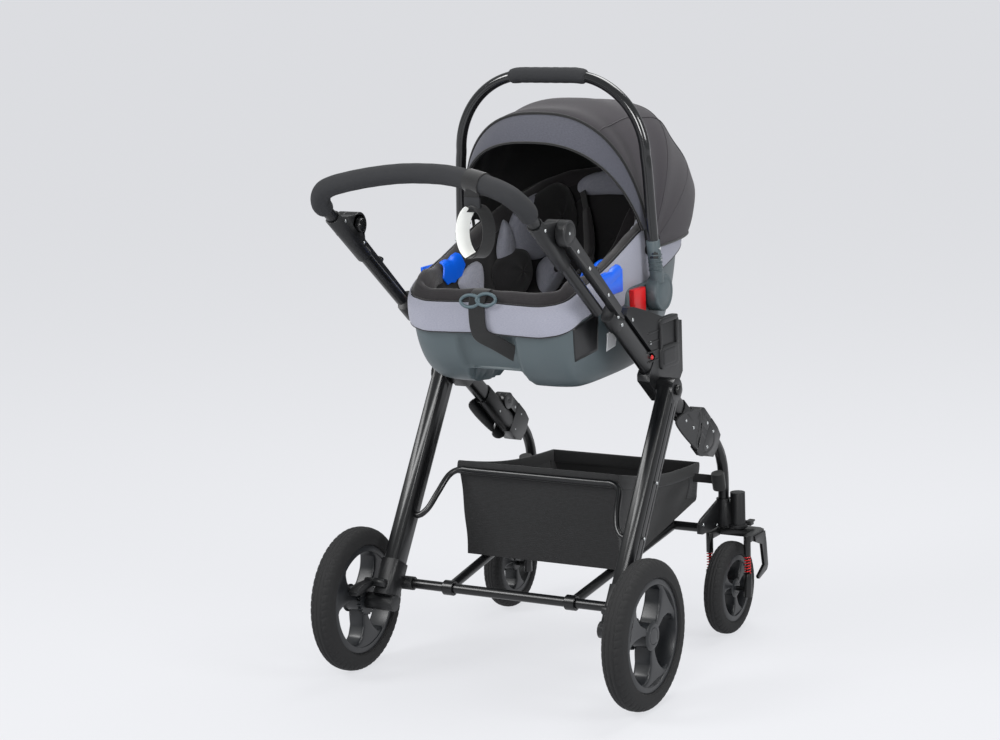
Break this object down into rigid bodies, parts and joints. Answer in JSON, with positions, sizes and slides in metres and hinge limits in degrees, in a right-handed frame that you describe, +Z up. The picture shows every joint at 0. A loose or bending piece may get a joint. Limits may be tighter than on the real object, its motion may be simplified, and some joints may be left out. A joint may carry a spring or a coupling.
{
  "type": "travel system stroller",
  "caption": "Folding pushchair chassis with sprung swivel casters, a shopping basket and a lift-off infant carrier with hood and carry handle.",
  "frame": {"origin": "on the ground, under the middle of the box that holds the whole stroller", "axes": "+Z up, +Y the way the stroller rolls forward, +X its right side"},
  "size_m": [0.667, 0.8738, 1.146],
  "materials": {
    "frame_tube": "matte black powder coat",
    "moulding": "fine-grained black moulding",
    "carrier_shell": "fine-grained slate grey moulding",
    "rubber": "matte",
    "foam": "closed-cell foam skin",
    "red": "satin",
    "blue": "satin",
    "spring": "gloss red powder coat",
    "band": "heather knit",
    "hood": "heather weave",
    "black_cloth": "plain weave"
  },
  "bodies": {
    "push_frame": {"lower_tube_l": "frame_tube", "lower_tube_r": "frame_tube", "hub_lower_l": "moulding", "hub_lower_r": "moulding", "fold_joint_upper_l": "moulding", "fold_joint_upper_r": "moulding", "seat_adapter_l": "moulding", "seat_adapter_r": "moulding"},
    "handlebar": {"handlebar_tube": "frame_tube", "handle_foam": "foam", "wrist_strap": "black_cloth", "hub_upper_l": "moulding", "hub_upper_r": "moulding"},
    "hub_button_l": {"hub_button_l": "moulding"},
    "hub_button_r": {"hub_button_r": "moulding"},
    "fold_slider_l": {"fold_slider_l": "moulding"},
    "fold_slider_r": {"fold_slider_r": "moulding"},
    "rear_frame": {"rear_leg_l": "frame_tube", "rear_leg_r": "frame_tube", "axle_housing_l": "moulding", "axle_housing_r": "moulding", "rear_cross_tube": "frame_tube", "basket_hoop": "frame_tube", "basket": "black_cloth"},
    "rear_wheel_l": {"rear_rim_l": "moulding", "rear_tyre_l": "rubber"},
    "rear_wheel_r": {"rear_rim_r": "moulding", "rear_tyre_r": "rubber"},
    "brake_pedal_l": {"brake_pedal_l": "moulding"},
    "brake_pedal_r": {"brake_pedal_r": "moulding"},
    "floor_frame": {"floor_frame": "frame_tube"},
    "front_frame": {"front_leg_l": "frame_tube", "front_leg_r": "frame_tube", "caster_housing_l": "moulding", "caster_housing_r": "moulding"},
    "swivel_lock_l": {"swivel_lock_l": "moulding"},
    "swivel_lock_r": {"swivel_lock_r": "moulding"},
    "caster_l": {"yoke_l": "moulding", "spring_l": "spring"},
    "caster_r": {"yoke_r": "moulding", "spring_r": "spring"},
    "axle_carrier_l": {"carrier_l": "moulding"},
    "axle_carrier_r": {"carrier_r": "moulding"},
    "front_wheel_l": {"front_rim_l": "moulding", "front_tyre_l": "rubber"},
    "front_wheel_r": {"front_rim_r": "moulding", "front_tyre_r": "rubber"},
    "infant_seat": {"seat_shell": "carrier_shell", "seat_cover": "band", "harness": "black_cloth", "canopy": "hood", "belt_guide_l": "blue", "belt_guide_r": "blue"},
    "canopy_hoop": {"canopy_hoop": "moulding"},
    "carry_handle": {"carry_handle": "frame_tube", "carry_grip": "foam", "handle_hub_l": "carrier_shell", "handle_hub_r": "carrier_shell"},
    "handle_button_l": {"handle_button_l": "red"},
    "handle_button_r": {"handle_button_r": "red"}
  },
  "joints": [
    {"name": "rear_leg_fold", "type": "hinge", "parent": "push_frame", "child": "rear_frame", "pos_m": [0, 0.05711, 0.54288], "axis": [1, 0, 0], "range_deg": [0, 45]},
    {"name": "front_leg_fold", "type": "hinge", "parent": "push_frame", "child": "front_frame", "pos_m": [0, 0.23449, 0.45473], "axis": [1, 0, 0], "range_deg": [0, 88]},
    {"name": "floor_link_fold", "type": "hinge", "parent": "rear_frame", "child": "floor_frame", "pos_m": [0, -0.1419, 0.166], "axis": [1, 0, 0], "range_deg": [-6.5, 0]},
    {"name": "handlebar_fold", "type": "hinge", "parent": "push_frame", "child": "handlebar", "pos_m": [0, -0.30025, 0.8879], "axis": [-1, 0, 0], "range_deg": [0, 150]},
    {"name": "seat_lift", "type": "slide", "parent": "push_frame", "child": "infant_seat", "axis": [0, 0, 1], "range_m": [0, 0.32]},
    {"name": "carry_handle_turn", "type": "hinge", "parent": "infant_seat", "child": "carry_handle", "pos_m": [0, 0.1041, 0.72], "axis": [-1, 0, 0], "range_deg": [-35, 95]},
    {"name": "canopy_fold", "type": "hinge", "parent": "infant_seat", "child": "canopy_hoop", "pos_m": [0, 0.1021, 0.8], "axis": [-1, 0, 0], "range_deg": [0, 58], "deforming": ["canopy"]},
    {"name": "hub_button_push_l", "type": "slide", "parent": "handlebar", "child": "hub_button_l", "axis": [-1, 0, 0], "range_m": [0, 0.004], "stiffness_N_per_m": 400, "springref_m": -0.003},
    {"name": "fold_slider_pull_l", "type": "slide", "parent": "push_frame", "child": "fold_slider_l", "axis": [0, 0.7627, -0.6468], "range_m": [0, 0.008], "stiffness_N_per_m": 200, "springref_m": -0.006},
    {"name": "rear_wheel_spin_l", "type": "hinge", "parent": "rear_frame", "child": "rear_wheel_l", "pos_m": [-0.311, -0.1979, 0.14], "axis": [1, 0, 0], "continuous": true},
    {"name": "brake_l", "type": "hinge", "parent": "rear_frame", "child": "brake_pedal_l", "pos_m": [-0.2601, -0.211, 0.1822], "axis": [1, 0, 0], "range_deg": [0, 9], "stiffness_Nm_per_rad": 0.5, "springref_deg": -17.19},
    {"name": "caster_swivel_l", "type": "hinge", "parent": "front_frame", "child": "caster_l", "pos_m": [-0.251, 0.3471, 0.203], "axis": [0, 0, 1], "continuous": true},
    {"name": "suspension_l", "type": "slide", "parent": "caster_l", "child": "axle_carrier_l", "axis": [0, 0, 1], "range_m": [0, 0.01], "stiffness_N_per_m": 8000, "springref_m": -0.01, "deforming": ["spring_l"]},
    {"name": "front_wheel_spin_l", "type": "hinge", "parent": "axle_carrier_l", "child": "front_wheel_l", "pos_m": [-0.251, 0.2991, 0.093], "axis": [1, 0, 0], "continuous": true},
    {"name": "swivel_lock_turn_l", "type": "hinge", "parent": "front_frame", "child": "swivel_lock_l", "pos_m": [-0.2625, 0.3706, 0.2115], "axis": [1, 0, 0], "range_deg": [0, 30]},
    {"name": "handle_button_push_l", "type": "slide", "parent": "infant_seat", "child": "handle_button_l", "axis": [1, 0, 0], "range_m": [0, 0.004], "stiffness_N_per_m": 400, "springref_m": -0.003},
    {"name": "hub_button_push_r", "type": "slide", "parent": "handlebar", "child": "hub_button_r", "axis": [1, 0, 0], "range_m": [0, 0.004], "stiffness_N_per_m": 400, "springref_m": -0.003},
    {"name": "fold_slider_pull_r", "type": "slide", "parent": "push_frame", "child": "fold_slider_r", "axis": [0, 0.7627, -0.6468], "range_m": [0, 0.008], "stiffness_N_per_m": 200, "springref_m": -0.006},
    {"name": "rear_wheel_spin_r", "type": "hinge", "parent": "rear_frame", "child": "rear_wheel_r", "pos_m": [0.311, -0.1979, 0.14], "axis": [1, 0, 0], "continuous": true},
    {"name": "brake_r", "type": "hinge", "parent": "rear_frame", "child": "brake_pedal_r", "pos_m": [0.2601, -0.211, 0.1822], "axis": [1, 0, 0], "range_deg": [0, 9], "stiffness_Nm_per_rad": 0.5, "springref_deg": -17.19},
    {"name": "caster_swivel_r", "type": "hinge", "parent": "front_frame", "child": "caster_r", "pos_m": [0.251, 0.3471, 0.203], "axis": [0, 0, 1], "continuous": true},
    {"name": "suspension_r", "type": "slide", "parent": "caster_r", "child": "axle_carrier_r", "axis": [0, 0, 1], "range_m": [0, 0.01], "stiffness_N_per_m": 8000, "springref_m": -0.01, "deforming": ["spring_r"]},
    {"name": "front_wheel_spin_r", "type": "hinge", "parent": "axle_carrier_r", "child": "front_wheel_r", "pos_m": [0.251, 0.2991, 0.093], "axis": [1, 0, 0], "continuous": true},
    {"name": "swivel_lock_turn_r", "type": "hinge", "parent": "front_frame", "child": "swivel_lock_r", "pos_m": [0.2625, 0.3706, 0.2115], "axis": [1, 0, 0], "range_deg": [0, 30]},
    {"name": "handle_button_push_r", "type": "slide", "parent": "infant_seat", "child": "handle_button_r", "axis": [-1, 0, 0], "range_m": [0, 0.004], "stiffness_N_per_m": 400, "springref_m": -0.003}
  ],
  "couplings": [
    {"joint": "front_leg_fold", "follows": "rear_leg_fold", "ratio": 1.944},
    {"joint": "floor_link_fold", "follows": "rear_leg_fold", "ratio": -0.13}
  ]
}
